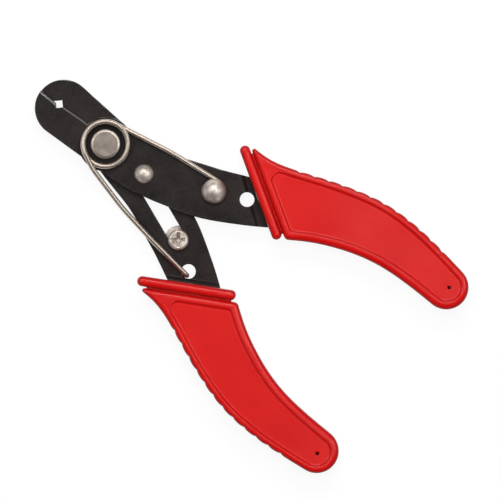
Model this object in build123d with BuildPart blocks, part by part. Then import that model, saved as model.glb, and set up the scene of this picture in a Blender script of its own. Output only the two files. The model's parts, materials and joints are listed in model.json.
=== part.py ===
"""Adjustable wire stripper: two crossed steel levers on a rivet, held open by a torsion spring.

Frame: +X runs from the jaws to the handles, +Z is up from the bench on which the tool lies flat.
All lengths are millimetres. Outline points are measured from the pivot axis, with +Y towards
the upper handle. The front lever lies on top and carries the lower jaw and the upper handle.
"""
from build123d import *
from math import acos, asin, atan2, cos, degrees, radians, sin, tan
import os

os.makedirs("parts", exist_ok=True)

# Lever plates
plate_thickness = 2.0
lever_gap = 0.06
hub_radius = 7.65
lever_hole_radius = 2.05
lever_hole_x = 40.5
lever_hole_y = 13.0
lever_heel_x = 6.0
arm_top_rise = 0.65
arm_top_setback = 0.95

# Nose and cutting edges of the jaws
front_rear_setback = 1.15
back_rear_setback = 0.35
front_rear_height = hub_radius - front_rear_setback
back_rear_height = hub_radius - back_rear_setback
nose_radius = 8.05
nose_x = -15.5
nose_y = 0.35
jaw_bevel = 0.5
notch_half_angle = 45.0
front_notch_x = -17.1
front_notch_y = -0.85
back_notch_x = -17.3
back_notch_y = 1.85
front_edge_tip_y = 0.15
front_edge_notch_y = 0.68
back_edge_tip_y = -0.3
back_edge_notch_y = -0.4
edge_hub_y = 1.97
edge_steepness = 0.3
pick_tolerance = 0.05

# Joggle that brings each plate to the common mid plane of the handles
joggle_ramp = 1.0
front_joggle_angle = 55.0
front_joggle_distance = 35.0
back_joggle_setback = 0.3

# Pivot rivet
pivot_shank_radius = 2.5
pivot_head_radius = 4.1
pivot_head_height = 1.9
pivot_head_chamfer = 0.5
pivot_tail_radius = 3.6
pivot_tail_height = 1.1
running_clearance = 0.04
rivet_clearance = 0.02

# Slot of the back lever, with the stop pin at one end and the stop screw at the other
slot_width = 4.5
slot_angle = -20.3
slot_start = 12.2
slot_offset = 3.94
stop_rest = 33.41
stop_end_travel = 1.05
slot_end_clearance = 0.2

# Stop pin of the front lever
stop_pin_x = 13.6
stop_pin_y = 0.35
stop_pin_radius = 1.1
stop_pin_head_radius = 2.65
stop_pin_head_height = 1.8
stop_pin_tail_radius = 2.8
stop_pin_tail_height = 0.9
stop_pin_axial_clearance = 0.1

# Adjustable stop: pan head screw, washer and hexagon nut
screw_radius = 1.5
screw_head_radius = 2.9
screw_head_height = 2.0
screw_head_round = 0.7
recess_length = 3.4
recess_width = 0.9
recess_depth = 1.1
recess_angle = 39.2
screw_tip = 0.3
washer_radius = 4.0
washer_thickness = 0.5
washer_bore_clearance = 0.12
nut_across_flats = 5.5
nut_height = 2.4
thread_clearance = 0.05
slide_clearance = 0.03

# Torsion spring and the rivet that carries its upper leg
wire_radius = 0.7
coil_radius = 6.3
coil_pitch = 1.46
wire_clearance = 0.05
leg_b_knee = (16.0, 9.85)
leg_b_knee_radius = 60.0
leg_a_knees = [(1.5, -7.65), (15.0, -10.95), (26.0, -12.5)]
leg_a_knee_radii = [15.0, 70.0, 70.0]
spring_rivet_x = 31.8
spring_rivet_y = 9.0
spring_rivet_neck_radius = 2.15
spring_rivet_dome_radius = 3.35
spring_rivet_dome_height = 2.3
spring_rivet_shank_radius = 1.6
spring_rivet_tail_radius = 2.4
spring_rivet_tail_height = 0.7
loop_end_angle = -170.0
hook_offset_x = 0.35
hook_offset_y = -1.12
hook_bend_radius = 1.3
hook_tail_clearance = 0.3
hook_tail_run = 2.4
hook_tail_angle = -145.0

# Grips
grip_thickness = 11.0
grip_edge_round = 0.7
grip_corner_round = 1.3
grip_tip_round = 0.8
grip_end_radius = 6.2
grip_end_x = 99.2
grip_end_y = 29.2
grip_back_meet = 82.0
grip_front_meet = -92.0
tang_clearance = 0.05
lower_grip_slip = 0.8
collar_angle = -30.3
collar_front = 34.5
collar_thickness = 2.85
collar_start = 14.0
collar_stop = 41.9
collar_round = 1.1
body_front = 38.1
body_back_run = 14.6
body_front_run = 42.7
neck_inset = 0.9
neck_back_inset = 1.4
neck_front_inset = 1.8
neck_reach = 0.6
panel_front = 40.35
panel_rim = 2.4
panel_depth = 0.5
panel_corner_round = 2.5
scallop_radius = 0.9
scallop_depth = 0.35
scallop_margin = 0.3
scallop_count = 12
scallop_pitch = 4.25
scallop_start = 15.0
gate_hole_x = 99.8
gate_hole_y = 29.6
gate_hole_radius = 0.5
gate_hole_depth = 0.8

# Where the pivot stands: the part's origin is under the middle of its box, on the bench
nose_tip = nose_radius - nose_x
handle_end = grip_end_x + grip_end_radius + lower_grip_slip
pivot_x = (nose_tip - handle_end) / 2
mid_height = grip_thickness / 2
work = Plane(origin=(pivot_x, 0, mid_height))

# Heights above the mid plane
front_face = lever_gap / 2 + plate_thickness
back_face = -front_face
tang_half = plate_thickness / 2
blank_reach = 60.0
blank_half_height = 4.0


def along_slot(distance, across=0.0):
    """Point at a distance along the slot's middle line, measured from the foot below the pivot."""
    turn = radians(slot_angle)
    offset = slot_offset + across
    return (
        distance * cos(turn) - offset * sin(turn),
        distance * sin(turn) + offset * cos(turn),
    )


def on_collar(run, depth):
    """Point of the upper grip given along the collar and square to it."""
    turn = radians(collar_angle)
    return run * cos(turn) - depth * sin(turn), run * sin(turn) + depth * cos(turn)


def mirrored(points, side, slip=0.0):
    """The points of the upper half, or their mirror image for the lower half."""
    return [(x + slip, side * y) for x, y in points]


def shifted(points, amount):
    """Points moved square to the smooth curve through them, to its left."""
    curve = Edge.make_spline([Vector(*point) for point in points])
    moved = []
    for point in points:
        heading = curve.tangent_at(Vector(*point))
        moved.append((point[0] - heading.Y * amount, point[1] + heading.X * amount))
    return moved


def arm_face(side, rear_height, grow=0.0):
    """Arm of a lever from the hub to its rounded end inside the grip, grown by a clearance."""
    low = [(lever_heel_x, -rear_height), (14, -5.4), (20, -4.0), (24.5, -2.6), (32.5, 0.2), (40, 4.2)]
    low += [(49.5, 10.3), (60, 18.0), (72, 24.2), (88, 27.0)]
    high = [(88, 32.8), (72, 31.4), (58, 27.2), (44, 21.4), (35.4, 17.6), (30, 15.1), (24, 12.7)]
    high += [(17, 9.95), (10, hub_radius + arm_top_rise), (3, hub_radius - arm_top_setback)]
    low = shifted(low, -grow)
    high = shifted(high, -grow)
    end_radius = (high[0][1] - low[-1][1]) / 2
    end_tip = (high[0][0] + end_radius, low[-1][1] + end_radius)
    with BuildLine() as outline:
        Polyline(*mirrored([high[-1], (0, 0), low[0]], side))
        Spline(*mirrored(low, side))
        ThreePointArc(*mirrored([low[-1], end_tip, high[0]], side))
        Spline(*mirrored(high, side))
    make_face(outline.edges())


def jaw_face(side, edge_points, rear_height):
    """Jaw on the other side of the pivot: nose disc and jaw strip, trimmed at the cutting edge."""
    strip_height = nose_radius - side * nose_y
    reach = nose_x - 2 * nose_radius
    far = 2 * nose_radius
    with BuildLine() as strip:
        Polyline(
            *mirrored(
                [
                    (nose_x, -strip_height),
                    (lever_heel_x, -rear_height),
                    (lever_heel_x, hub_radius / 2),
                    (nose_x, hub_radius / 2),
                ],
                side,
            ),
            close=True,
        )
    make_face(strip.edges())
    with Locations((nose_x, nose_y)):
        Circle(nose_radius)
    with BuildLine() as trim:
        Polyline(
            (reach, edge_points[0][1]),
            *edge_points,
            (0, side * far),
            (reach, side * far),
            close=True,
        )
    make_face(trim.edges(), mode=Mode.SUBTRACT)


def joggle_prism(upper, lower, angle, distance, side):
    """Side view of a joggled plate, drawn square to the crease and carried across the tool."""
    turn = radians(angle)
    across = (cos(turn), side * sin(turn), 0)
    profile_plane = Plane(origin=work.origin, x_dir=across, z_dir=(across[1], -across[0], 0))
    with BuildSketch(profile_plane) as profile:
        with BuildLine():
            Polyline(
                (-blank_reach, upper),
                (distance - joggle_ramp, upper),
                (distance, tang_half),
                (2 * blank_reach, tang_half),
                (2 * blank_reach, -tang_half),
                (distance, -tang_half),
                (distance - joggle_ramp, lower),
                (-blank_reach, lower),
                close=True,
            )
        make_face()
    extrude(profile.sketch, amount=2 * blank_reach, both=True, mode=Mode.INTERSECT)


def notch_edge(apex_x, apex_y, side, left, right):
    """Cutting edge of a jaw from its tip to the hub, with the wire notch cut into it."""
    slope = side * tan(radians(notch_half_angle))
    rise_left = (left[1] - apex_y) / slope
    rise_right = (right[1] - apex_y) / slope
    return [(apex_x - rise_left, left[1]), (apex_x, apex_y), (apex_x + rise_right, right[1])]


front_edge_tip = (nose_x - nose_radius, front_edge_tip_y)
front_edge_notch = (nose_x, front_edge_notch_y)
front_edge_hub = (0, edge_hub_y)
back_edge_tip = (nose_x - nose_radius, back_edge_tip_y)
back_edge_notch = (nose_x, back_edge_notch_y)
back_edge_hub = (0, -edge_hub_y)
front_edge = [
    front_edge_tip,
    *notch_edge(front_notch_x, front_notch_y, 1, front_edge_tip, front_edge_notch),
    front_edge_hub,
]
back_edge = [
    back_edge_tip,
    *notch_edge(back_notch_x, back_notch_y, -1, back_edge_tip, back_edge_notch),
    back_edge_hub,
]


def bevel_edges(lever, face_height, edge):
    """Straight cutting edges on the outer face of a jaw, at both sides of the notch."""
    outer_face = mid_height + face_height
    right_end = pivot_x - hub_radius
    low, high = sorted([edge[0][1], edge[-1][1]])
    chosen = []
    for item in lever.edges().filter_by(GeomType.LINE):
        middle = item.center()
        heights = [abs(end.Z - outer_face) for end in (item.start_point(), item.end_point())]
        level = max(heights) < pick_tolerance
        near = low - pick_tolerance < middle.Y < high + pick_tolerance and middle.X < right_end
        if level and near and abs(item.tangent_at(0.5).Y) < edge_steepness:
            chosen.append(item)
    return chosen


# Front lever: lower jaw and upper arm, on top
with BuildPart() as front_lever:
    with BuildSketch(work):
        jaw_face(1, front_edge, front_rear_height)
        Circle(hub_radius)
        arm_face(1, front_rear_height)
        Circle(pivot_shank_radius + running_clearance, mode=Mode.SUBTRACT)
        with Locations((lever_hole_x, lever_hole_y)):
            Circle(lever_hole_radius, mode=Mode.SUBTRACT)
        with Locations((stop_pin_x, stop_pin_y)):
            Circle(stop_pin_radius + rivet_clearance, mode=Mode.SUBTRACT)
        with Locations((spring_rivet_x, spring_rivet_y)):
            Circle(spring_rivet_shank_radius + rivet_clearance, mode=Mode.SUBTRACT)
    extrude(amount=blank_half_height, both=True)
    joggle_prism(front_face, lever_gap / 2, front_joggle_angle, front_joggle_distance, 1)
    chamfer(bevel_edges(front_lever, front_face, front_edge), length=jaw_bevel)
front_lever.part.label = "front_lever"
export_step(front_lever.part, "parts/front_lever.step")

# Back lever: upper jaw and lower arm, below, with the long slot
back_joggle_angle = 90 + collar_angle
back_joggle_slip = lower_grip_slip * cos(radians(back_joggle_angle))
back_joggle_distance = collar_front - back_joggle_setback + back_joggle_slip
slot_far_centre = stop_rest + stop_end_travel + slot_end_clearance + screw_radius - slot_width / 2
slot_length = slot_far_centre - slot_start
slot_middle = along_slot(slot_start + slot_length / 2)
with BuildPart() as back_lever:
    with BuildSketch(work):
        jaw_face(-1, back_edge, back_rear_height)
        Circle(hub_radius)
        arm_face(-1, back_rear_height)
        Circle(pivot_shank_radius + rivet_clearance, mode=Mode.SUBTRACT)
        with Locations((lever_hole_x, -lever_hole_y)):
            Circle(lever_hole_radius, mode=Mode.SUBTRACT)
        with Locations(slot_middle):
            SlotCenterToCenter(slot_length, slot_width, rotation=slot_angle, mode=Mode.SUBTRACT)
    extrude(amount=blank_half_height, both=True)
    joggle_prism(-lever_gap / 2, back_face, back_joggle_angle, back_joggle_distance, -1)
    chamfer(bevel_edges(back_lever, back_face, back_edge), length=jaw_bevel)
back_lever.part.label = "back_lever"
export_step(back_lever.part, "parts/back_lever.step")

# Pivot rivet: chamfered flat head on the front lever, formed tail behind the back lever
with BuildPart() as pivot_rivet:
    with BuildSketch(work.offset(front_face)):
        Circle(pivot_head_radius)
    extrude(amount=pivot_head_height)
    chamfer(pivot_rivet.edges().group_by(Axis.Z)[-1], length=pivot_head_chamfer)
    with BuildSketch(work.offset(back_face)):
        Circle(pivot_shank_radius)
    extrude(amount=2 * front_face)
    with BuildSketch(work.offset(back_face - pivot_tail_height)):
        Circle(pivot_tail_radius)
    extrude(amount=pivot_tail_height)
    chamfer(pivot_rivet.edges().group_by(Axis.Z)[0], length=pivot_tail_height / 2)
pivot_rivet.part.label = "pivot_rivet"
export_step(pivot_rivet.part, "parts/pivot_rivet.step")


def dome(radius, height, base_height, x, y):
    """Domed rivet head: a ball cap of this radius and height, standing on a level face."""
    ball = (radius**2 + height**2) / (2 * height)
    half_way = asin(radius / ball) / 2
    shoulder = (ball * sin(half_way), height - ball + ball * cos(half_way))
    foot = work.origin + Vector(x, y, base_height)
    with BuildSketch(Plane(origin=foot, x_dir=(1, 0, 0), z_dir=(0, -1, 0))) as half:
        with BuildLine() as outline:
            Line((0, 0), (radius, 0))
            ThreePointArc((radius, 0), shoulder, (0, height))
            Line((0, height), (0, 0))
        make_face(outline.edges())
    revolve(half.sketch, axis=Axis(foot, (0, 0, 1)))


# Stop pin: domed rivet of the front lever whose shank runs in the slot of the back lever
pin_tail_top = back_face - stop_pin_axial_clearance
with BuildPart() as stop_pin:
    dome(stop_pin_head_radius, stop_pin_head_height, front_face, stop_pin_x, stop_pin_y)
    with BuildSketch(work.offset(pin_tail_top)):
        with Locations((stop_pin_x, stop_pin_y)):
            Circle(stop_pin_radius)
    extrude(amount=front_face - pin_tail_top)
    with BuildSketch(work.offset(pin_tail_top - stop_pin_tail_height)):
        with Locations((stop_pin_x, stop_pin_y)):
            Circle(stop_pin_tail_radius)
    extrude(amount=stop_pin_tail_height)
stop_pin.part.label = "stop_pin"
export_step(stop_pin.part, "parts/stop_pin.step")

# Spring rivet: domed head on a neck that the spring's upper leg is hooked round
neck_height = 2 * (wire_radius + wire_clearance)
with BuildPart() as spring_rivet:
    dome(
        spring_rivet_dome_radius,
        spring_rivet_dome_height,
        front_face + neck_height,
        spring_rivet_x,
        spring_rivet_y,
    )
    with BuildSketch(work.offset(front_face)):
        with Locations((spring_rivet_x, spring_rivet_y)):
            Circle(spring_rivet_neck_radius)
    extrude(amount=neck_height)
    with BuildSketch(work.offset(lever_gap / 2)):
        with Locations((spring_rivet_x, spring_rivet_y)):
            Circle(spring_rivet_shank_radius)
    extrude(amount=plate_thickness)
    with BuildSketch(work.offset(lever_gap / 2 - spring_rivet_tail_height)):
        with Locations((spring_rivet_x, spring_rivet_y)):
            Circle(spring_rivet_tail_radius)
    extrude(amount=spring_rivet_tail_height)
spring_rivet.part.label = "spring_rivet"
export_step(spring_rivet.part, "parts/spring_rivet.step")

# Adjustable stop: the screw's head lies on the back lever, washer and nut behind it
stop_x, stop_y = along_slot(stop_rest)
head_seat = -lever_gap / 2 + slide_clearance
washer_top = back_face - slide_clearance
nut_top = washer_top - washer_thickness - slide_clearance
nut_bottom = nut_top - nut_height
with BuildPart() as stop_screw:
    with BuildSketch(work.offset(head_seat)):
        with Locations((stop_x, stop_y)):
            Circle(screw_head_radius)
    extrude(amount=screw_head_height)
    fillet(stop_screw.edges().group_by(Axis.Z)[-1], radius=screw_head_round)
    with BuildSketch(work.offset(head_seat + screw_head_height)):
        with Locations((stop_x, stop_y)):
            Rectangle(recess_length, recess_width, rotation=recess_angle)
            Rectangle(recess_width, recess_length, rotation=recess_angle)
    extrude(amount=-recess_depth, mode=Mode.SUBTRACT)
    with BuildSketch(work.offset(nut_bottom - screw_tip)):
        with Locations((stop_x, stop_y)):
            Circle(screw_radius)
    extrude(amount=head_seat - nut_bottom + screw_tip)
stop_screw.part.label = "stop_screw"
export_step(stop_screw.part, "parts/stop_screw.step")

with BuildPart() as stop_washer:
    with BuildSketch(work.offset(washer_top - washer_thickness)):
        with Locations((stop_x, stop_y)):
            Circle(washer_radius)
            Circle(screw_radius + washer_bore_clearance, mode=Mode.SUBTRACT)
    extrude(amount=washer_thickness)
stop_washer.part.label = "stop_washer"
export_step(stop_washer.part, "parts/stop_washer.step")

with BuildPart() as stop_nut:
    with BuildSketch(work.offset(nut_bottom)):
        with Locations((stop_x, stop_y)):
            RegularPolygon(nut_across_flats / 2, 6, major_radius=False, rotation=slot_angle)
            Circle(screw_radius + thread_clearance, mode=Mode.SUBTRACT)
    extrude(amount=nut_height)
stop_nut.part.label = "stop_nut"
export_step(stop_nut.part, "parts/stop_nut.step")

# Torsion spring: one wire, hooked round the spring rivet, coiled about the pivot, hooked
# down through the hole of the back lever
def tangent_angle(point, side):
    """Angle of the coil's point whose tangent passes through an outer point."""
    reach = (point[0] ** 2 + point[1] ** 2) ** 0.5
    return degrees(atan2(point[1], point[0]) + side * acos(coil_radius / reach))


def on_circle(radius, angle, centre=(0.0, 0.0)):
    """Point of a circle in plan."""
    return centre[0] + radius * cos(radians(angle)), centre[1] + radius * sin(radians(angle))


def at_height(point, height):
    """Point of the plan placed at a height above the mid plane."""
    return work.origin + Vector(point[0], point[1], height)


def round_wire(path, *balls):
    """Length of spring wire carried along one path, with balls at its start (0) or end (1)."""
    with BuildSketch(Plane(origin=path @ 0, z_dir=path % 0)) as section:
        Circle(wire_radius)
    sweep(section.sketch, path=path)
    for ball in balls:
        with Locations(path @ ball):
            Sphere(wire_radius)


coil_start = tangent_angle(leg_b_knee, 1)
coil_stop = 360 + tangent_angle(leg_a_knees[0], -1)
coil_height = (360 + coil_stop - coil_start) / 360 * coil_pitch
wire_low = front_face + wire_clearance + wire_radius
wire_high = wire_low + coil_height
coil_centre = at_height((0, 0), wire_low)

loop_centre = (spring_rivet_x, spring_rivet_y)
loop_radius = spring_rivet_neck_radius + wire_clearance + wire_radius
knee_run = (loop_centre[0] - leg_b_knee[0], loop_centre[1] - leg_b_knee[1])
knee_reach = (knee_run[0] ** 2 + knee_run[1] ** 2) ** 0.5
loop_start = 90 + degrees(atan2(knee_run[1], knee_run[0]) + asin(loop_radius / knee_reach))
leg_b_points = [
    on_circle(coil_radius, coil_start),
    leg_b_knee,
    on_circle(loop_radius, loop_start, loop_centre),
]

hook = (lever_hole_x + hook_offset_x, -lever_hole_y + hook_offset_y)
hook_top = -lever_gap / 2 + wire_clearance + wire_radius
hook_low = back_face - hook_tail_clearance - wire_radius
leg_a_start = on_circle(coil_radius, coil_stop)
leg_a_plan = [leg_a_start, *leg_a_knees, hook]
leg_a_fall = (hook_top - wire_high) / (hook[0] - leg_a_start[0])
leg_a_points = [
    *[at_height(point, wire_high + leg_a_fall * (point[0] - leg_a_start[0])) for point in leg_a_plan],
    at_height(hook, hook_low),
    at_height(on_circle(hook_tail_run, hook_tail_angle, hook), hook_low),
]

with BuildPart() as torsion_spring:
    with BuildLine() as coil:
        turns = Helix(coil_pitch, coil_height, coil_radius, center=coil_centre, mode=Mode.PRIVATE)
        add(turns.rotate(Axis(coil_centre, (0, 0, 1)), coil_start))
    round_wire(coil.wire(), 0, 1)
    with BuildLine() as leg_b:
        FilletPolyline(*[at_height(point, wire_low) for point in leg_b_points], radius=leg_b_knee_radius)
    round_wire(leg_b.wire())
    with BuildLine(Plane(origin=at_height(loop_centre, wire_low))) as loop:
        CenterArc((0, 0), loop_radius, loop_start, loop_end_angle - loop_start)
    round_wire(loop.wire(), 0, 1)
    with BuildLine() as leg_a:
        FilletPolyline(*leg_a_points, radius=[*leg_a_knee_radii, hook_bend_radius, hook_bend_radius])
    round_wire(leg_a.wire(), 1)
torsion_spring.part.label = "torsion_spring"
export_step(torsion_spring.part, "parts/torsion_spring.step")


def grip_back_curve(side, slip):
    """Bowed back of a grip, from the corner behind the collar to the round end."""
    points = [(38, 25.7), (44, 27.3), (50, 29.7), (56, 32.1), (62, 34.2), (68, 35.9), (74, 36.9)]
    points += [(80, 37.2), (86, 37.0), (92, 36.4)]
    end = on_circle(grip_end_radius, grip_back_meet, (grip_end_x, grip_end_y))
    return mirrored([on_collar(body_back_run, body_front), *points, end], side, slip)


def grip_front_curve(side, slip):
    """Hollowed front of a grip, from the round end to the corner behind the collar."""
    points = [(92, 22.95), (86, 22.65), (80.5, 21.95), (74, 20.3), (68, 18.0), (62, 15.0)]
    end = on_circle(grip_end_radius, grip_front_meet, (grip_end_x, grip_end_y))
    return mirrored([end, *points, on_collar(body_front_run, body_front)], side, slip)


def grip_body_face(side, slip, inset=0.0):
    """Outline of a grip behind its collar: bowed back, round end, hollowed front."""
    back = shifted(grip_back_curve(side, slip), -side * inset)
    front = shifted(grip_front_curve(side, slip), -side * inset)
    tip = mirrored([(grip_end_x + grip_end_radius - inset, grip_end_y)], side, slip)[0]
    with BuildLine() as outline:
        Spline(*back)
        ThreePointArc(back[-1], tip, front[0])
        Spline(*front)
        Line(front[-1], back[0])
    make_face(outline.edges())


def collar_band(side, slip, near, far, start, stop, mode=Mode.ADD):
    """Straight band across the grip, between two distances square to the collar."""
    corners = [on_collar(start, near), on_collar(stop, near), on_collar(stop, far), on_collar(start, far)]
    with BuildLine() as outline:
        Polyline(*mirrored(corners, side, slip), close=True)
    make_face(outline.edges(), mode=mode)


def collar_normal(side):
    """Direction square to the collar, towards the end of the grip."""
    turn = radians(collar_angle)
    return Axis((0, 0, 0), (-sin(turn), side * cos(turn), 0))


def scallop_centres(side, slip):
    """Centres of the round cuts along the back of a grip."""
    curve = Edge.make_spline([Vector(*point) for point in grip_back_curve(side, slip)])
    centres = []
    for step in range(scallop_count):
        place = scallop_start + step * scallop_pitch
        point = curve.position_at(place, position_mode=PositionMode.LENGTH)
        heading = curve.tangent_at(place, position_mode=PositionMode.LENGTH)
        outward = Vector(-side * heading.Y, side * heading.X)
        centres.append(point + outward * (scallop_radius - scallop_depth))
    return centres


def sink_panel(side, slip, face_height, direction):
    """Shallow flat recess on one broad face of a grip, behind the collar."""
    with BuildSketch(work.offset(face_height)) as panel:
        grip_body_face(side, slip, panel_rim)
        collar_band(side, slip, panel_front, grip_end_x, -grip_end_x, grip_end_x, mode=Mode.INTERSECT)
        fillet(panel.vertices().sort_by(collar_normal(side))[0:2], radius=panel_corner_round)
    extrude(panel.sketch, amount=panel_depth, dir=(0, 0, direction), mode=Mode.SUBTRACT)


def make_grip(side, slip, rear_height):
    """Moulded grip with guard collar, neck groove, sunk panels and a pocket for the tang."""
    rear = -mid_height
    collar_rear = collar_front + collar_thickness
    with BuildPart() as grip:
        with BuildSketch(work.offset(rear)) as collar:
            collar_band(side, slip, collar_front, collar_rear, collar_start, collar_stop)
        extrude(collar.sketch, amount=grip_thickness, dir=(0, 0, 1))
        fillet(grip.edges(), radius=collar_round)
        with BuildSketch(work.offset(rear)) as body:
            grip_body_face(side, slip)
            corners = body.vertices().sort_by(collar_normal(side))[0:2].sort_by(Axis.X)
            fillet(corners[-1], radius=grip_corner_round)
            fillet(body.vertices().sort_by(Axis.X)[0], radius=grip_tip_round)
        extrude(body.sketch, amount=grip_thickness, dir=(0, 0, 1))
        rims = grip.edges(Select.LAST).group_by(Axis.Z)
        fillet(rims[-1] + rims[0], radius=grip_edge_round)
        with BuildSketch(work.offset(rear + neck_inset)) as neck:
            collar_band(
                side,
                slip,
                collar_rear - collar_thickness / 2,
                body_front + neck_reach,
                body_back_run + neck_back_inset,
                body_front_run - neck_front_inset,
            )
        extrude(neck.sketch, amount=grip_thickness - 2 * neck_inset, dir=(0, 0, 1))
        sink_panel(side, slip, mid_height, -1)
        sink_panel(side, slip, rear, 1)
        scallop_end = grip_edge_round + scallop_margin
        with BuildSketch(work.offset(rear + scallop_end)) as scallops:
            with Locations(*scallop_centres(side, slip)):
                Circle(scallop_radius)
        scallop_height = grip_thickness - 2 * scallop_end
        extrude(scallops.sketch, amount=scallop_height, dir=(0, 0, 1), mode=Mode.SUBTRACT)
        with BuildSketch(work.offset(mid_height)) as gate:
            with Locations(mirrored([(gate_hole_x, gate_hole_y)], side, slip)[0]):
                Circle(gate_hole_radius)
        extrude(gate.sketch, amount=panel_depth + gate_hole_depth, dir=(0, 0, -1), mode=Mode.SUBTRACT)
        with BuildSketch(work.offset(-tang_half - tang_clearance)) as pocket:
            arm_face(side, rear_height, tang_clearance)
        extrude(
            pocket.sketch,
            amount=2 * (tang_half + tang_clearance),
            dir=(0, 0, 1),
            mode=Mode.SUBTRACT,
        )
    return grip


# Grips: the lower one is the mirror image of the upper one and sits a little further out
upper_grip = make_grip(1, 0.0, front_rear_height)
upper_grip.part.label = "upper_grip"
export_step(upper_grip.part, "parts/upper_grip.step")

lower_grip = make_grip(-1, lower_grip_slip, back_rear_height)
lower_grip.part.label = "lower_grip"
export_step(lower_grip.part, "parts/lower_grip.step")
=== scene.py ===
import json
import math

import bmesh
import bpy
import numpy as np
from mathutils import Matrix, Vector
from mathutils.geometry import tessellate_polygon


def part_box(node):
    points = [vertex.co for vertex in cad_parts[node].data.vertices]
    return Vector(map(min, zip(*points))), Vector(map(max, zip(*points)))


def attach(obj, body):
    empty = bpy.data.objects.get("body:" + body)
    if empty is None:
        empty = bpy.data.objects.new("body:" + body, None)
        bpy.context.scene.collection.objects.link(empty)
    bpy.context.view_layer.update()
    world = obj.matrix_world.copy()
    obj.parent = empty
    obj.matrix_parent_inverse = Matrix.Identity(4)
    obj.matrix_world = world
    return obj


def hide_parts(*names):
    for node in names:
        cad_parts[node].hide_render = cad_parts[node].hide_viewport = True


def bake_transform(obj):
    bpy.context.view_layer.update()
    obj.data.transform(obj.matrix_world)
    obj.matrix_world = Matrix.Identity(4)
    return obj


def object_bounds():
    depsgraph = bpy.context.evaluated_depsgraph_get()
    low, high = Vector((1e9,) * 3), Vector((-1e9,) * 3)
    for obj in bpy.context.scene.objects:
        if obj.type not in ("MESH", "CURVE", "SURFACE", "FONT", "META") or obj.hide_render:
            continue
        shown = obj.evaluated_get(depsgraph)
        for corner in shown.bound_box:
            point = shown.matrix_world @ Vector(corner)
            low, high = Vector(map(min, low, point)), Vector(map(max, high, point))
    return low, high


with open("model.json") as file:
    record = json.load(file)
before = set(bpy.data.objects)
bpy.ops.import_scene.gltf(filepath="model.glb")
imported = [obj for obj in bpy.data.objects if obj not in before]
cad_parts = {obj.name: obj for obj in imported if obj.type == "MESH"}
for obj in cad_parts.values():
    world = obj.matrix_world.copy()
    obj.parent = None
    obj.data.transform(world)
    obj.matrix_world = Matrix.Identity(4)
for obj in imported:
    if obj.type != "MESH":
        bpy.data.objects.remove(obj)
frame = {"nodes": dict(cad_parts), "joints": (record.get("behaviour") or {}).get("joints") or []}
cadLow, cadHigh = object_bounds()
print("frame loaded")

# Shapes are worked out in millimetres from the pivot axis and the mid plane of the tool,
# with +X towards the handles and +Y towards the upper handle, then put into the frame.
mm = 0.001
pivotJoint = next(joint for joint in frame["joints"] if joint["name"] == "handle_pivot")
origin = np.array(pivotJoint["pos_m"]) / mm
faceTop = 2.03  # top of the front lever, and the bottom of the back lever below the mid plane
backTop = -0.03  # top of the back lever


def topOf(node):  # height of a node's top above the mid plane
    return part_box(node)[1].z / mm - origin[2]


def bottomOf(node):  # height of its bottom
    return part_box(node)[0].z / mm - origin[2]


# Curves

def lengthAlong(line):
    # Length along a line from its start to each of its points
    return np.r_[0, np.cumsum(np.linalg.norm(np.diff(line, axis=0), axis=1))]


def readAt(values, length, places):
    # Values given at each length along a line, read off at other places along it
    return np.stack([np.interp(places, length, column) for column in values.T], axis=1)


def evenly(line, count):
    # The points of a line again, evenly spaced by the length along it
    length = lengthAlong(line)
    return readAt(line, length, np.linspace(0, length[-1], count))


def smoothThrough(points, count):
    # Natural cubic spline over chord length; its second derivatives come from one linear solve
    p = np.asarray(points, float)
    t = lengthAlong(p)
    h = np.diff(t)
    i = np.arange(1, len(p) - 1)
    system = np.eye(len(p))
    system[i, i - 1] = h[:-1]
    system[i, i] = 2 * (h[:-1] + h[1:])
    system[i, i + 1] = h[1:]
    slopes = np.diff(p, axis=0) / h[:, None]
    right = np.zeros_like(p)
    right[1:-1] = 6 * np.diff(slopes, axis=0)
    bend = np.linalg.solve(system, right)
    s = np.linspace(0, t[-1], 60 * len(p))
    k = np.clip(np.searchsorted(t, s, side="right") - 1, 0, len(p) - 2)
    u, w, span = (s - t[k])[:, None], (t[k + 1] - s)[:, None], h[k][:, None]
    line = (bend[k] * w**3 + bend[k + 1] * u**3) / (6 * span)
    line += (p[k] / span - bend[k] * span / 6) * w + (p[k + 1] / span - bend[k + 1] * span / 6) * u
    return evenly(line, count)


def headingOf(line):
    # Unit direction of a line at each of its points
    heading = np.gradient(line, axis=0)
    return heading / np.linalg.norm(heading, axis=1)[:, None]


def toRight(line):
    # Unit direction square to a line in the plane, to its right
    heading = headingOf(line)
    return np.stack([heading[:, 1], -heading[:, 0]], axis=1)


def moved(line, amount):
    # A line in the plane moved square to itself, to its right
    return line + amount * toRight(line)


def cutEnd(line, amount):
    # A line without the last part of its length
    length = lengthAlong(line)
    return readAt(line, length, np.linspace(0, length[-1] - amount, len(line)))


def atHeight(line, height):
    # A line in the plane lifted to a height, or each of its points to its own
    return np.column_stack([line, np.broadcast_to(height, len(line))])


def around(centre, radius, angle):
    # Points on a circle in the plane, at angles in radians. The radius may change with the angle
    direction = np.stack([np.cos(angle), np.sin(angle)], axis=1)
    return np.asarray(centre) + np.reshape(radius, (-1, 1)) * direction


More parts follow.
